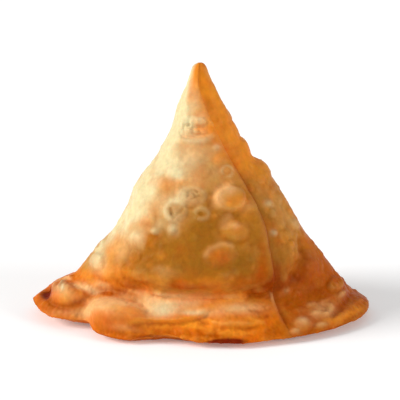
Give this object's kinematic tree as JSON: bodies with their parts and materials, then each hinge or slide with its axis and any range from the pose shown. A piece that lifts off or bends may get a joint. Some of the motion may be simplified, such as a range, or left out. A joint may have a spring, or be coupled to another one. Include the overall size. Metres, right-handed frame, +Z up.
{
  "type": "samosa",
  "caption": "Deep-fried cone of blistered pastry, filled and closed, standing on its base with a pinched, ruffled seam that flares out in front.",
  "frame": {"origin": "on the table, at the middle of the samosa's footprint", "axes": "+Z up through the tip, -Y towards the flared seam in front, +X towards the right-hand corner as seen from the front"},
  "size_m": [0.1, 0.0572, 0.0761],
  "materials": {
    "crust": "golden fried pastry with a slight sheen of oil, browner along the seam and corners"
  },
  "bodies": {
    "root": {"pastry": "crust"}
  },
  "joints": []
}
